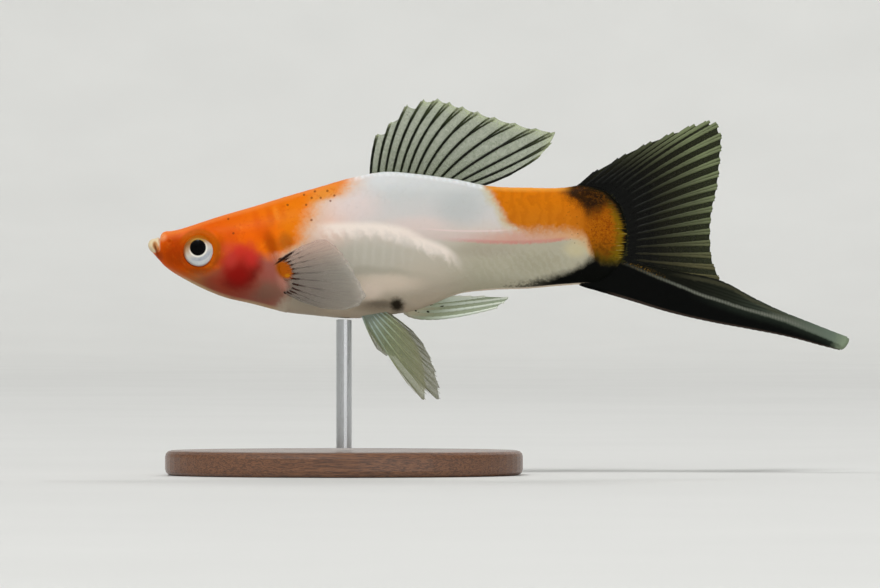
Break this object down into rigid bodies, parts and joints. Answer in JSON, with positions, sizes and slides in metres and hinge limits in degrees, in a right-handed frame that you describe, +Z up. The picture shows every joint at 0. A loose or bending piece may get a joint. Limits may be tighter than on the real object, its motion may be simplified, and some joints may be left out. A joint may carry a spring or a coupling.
{
  "type": "swordtail fish model",
  "caption": "Life-size swordtail fish, male, with orange, white and black markings, fins spread and a long sword on its tail, held level by a rod on an oval base.",
  "frame": {"origin": "centre of the oval base's flat underside, straight below the rod", "axes": "+Z up, the fish faces -X, its left side faces -Y"},
  "size_m": [0.0902, 0.028, 0.0484],
  "materials": {
    "skin_orange": "moist orange skin with fine scales",
    "skin_white": "moist pearly white skin with fine scales",
    "skin_rear": "moist orange-brown skin with fine scales",
    "eye": "glossy silver iris with a black pupil",
    "fin_clear": "thin, nearly clear fin membrane over darker rays",
    "fin_black": "smoky black fin membrane with grey-green rays",
    "walnut": "satin dark walnut",
    "steel": "polished steel rod"
  },
  "bodies": {
    "root": {"head": "skin_orange", "torso": "skin_white", "tail_stalk": "skin_rear", "eye_left": "eye", "eye_right": "eye", "dorsal_fin": "fin_clear", "pectoral_fin_left": "fin_clear", "pectoral_fin_right": "fin_clear", "pelvic_fin_left": "fin_clear", "pelvic_fin_right": "fin_clear", "gonopodium": "fin_clear", "tail_fin": "fin_black", "sword": "fin_black", "stand_base": "walnut", "stand_rod": "steel"}
  },
  "joints": []
}
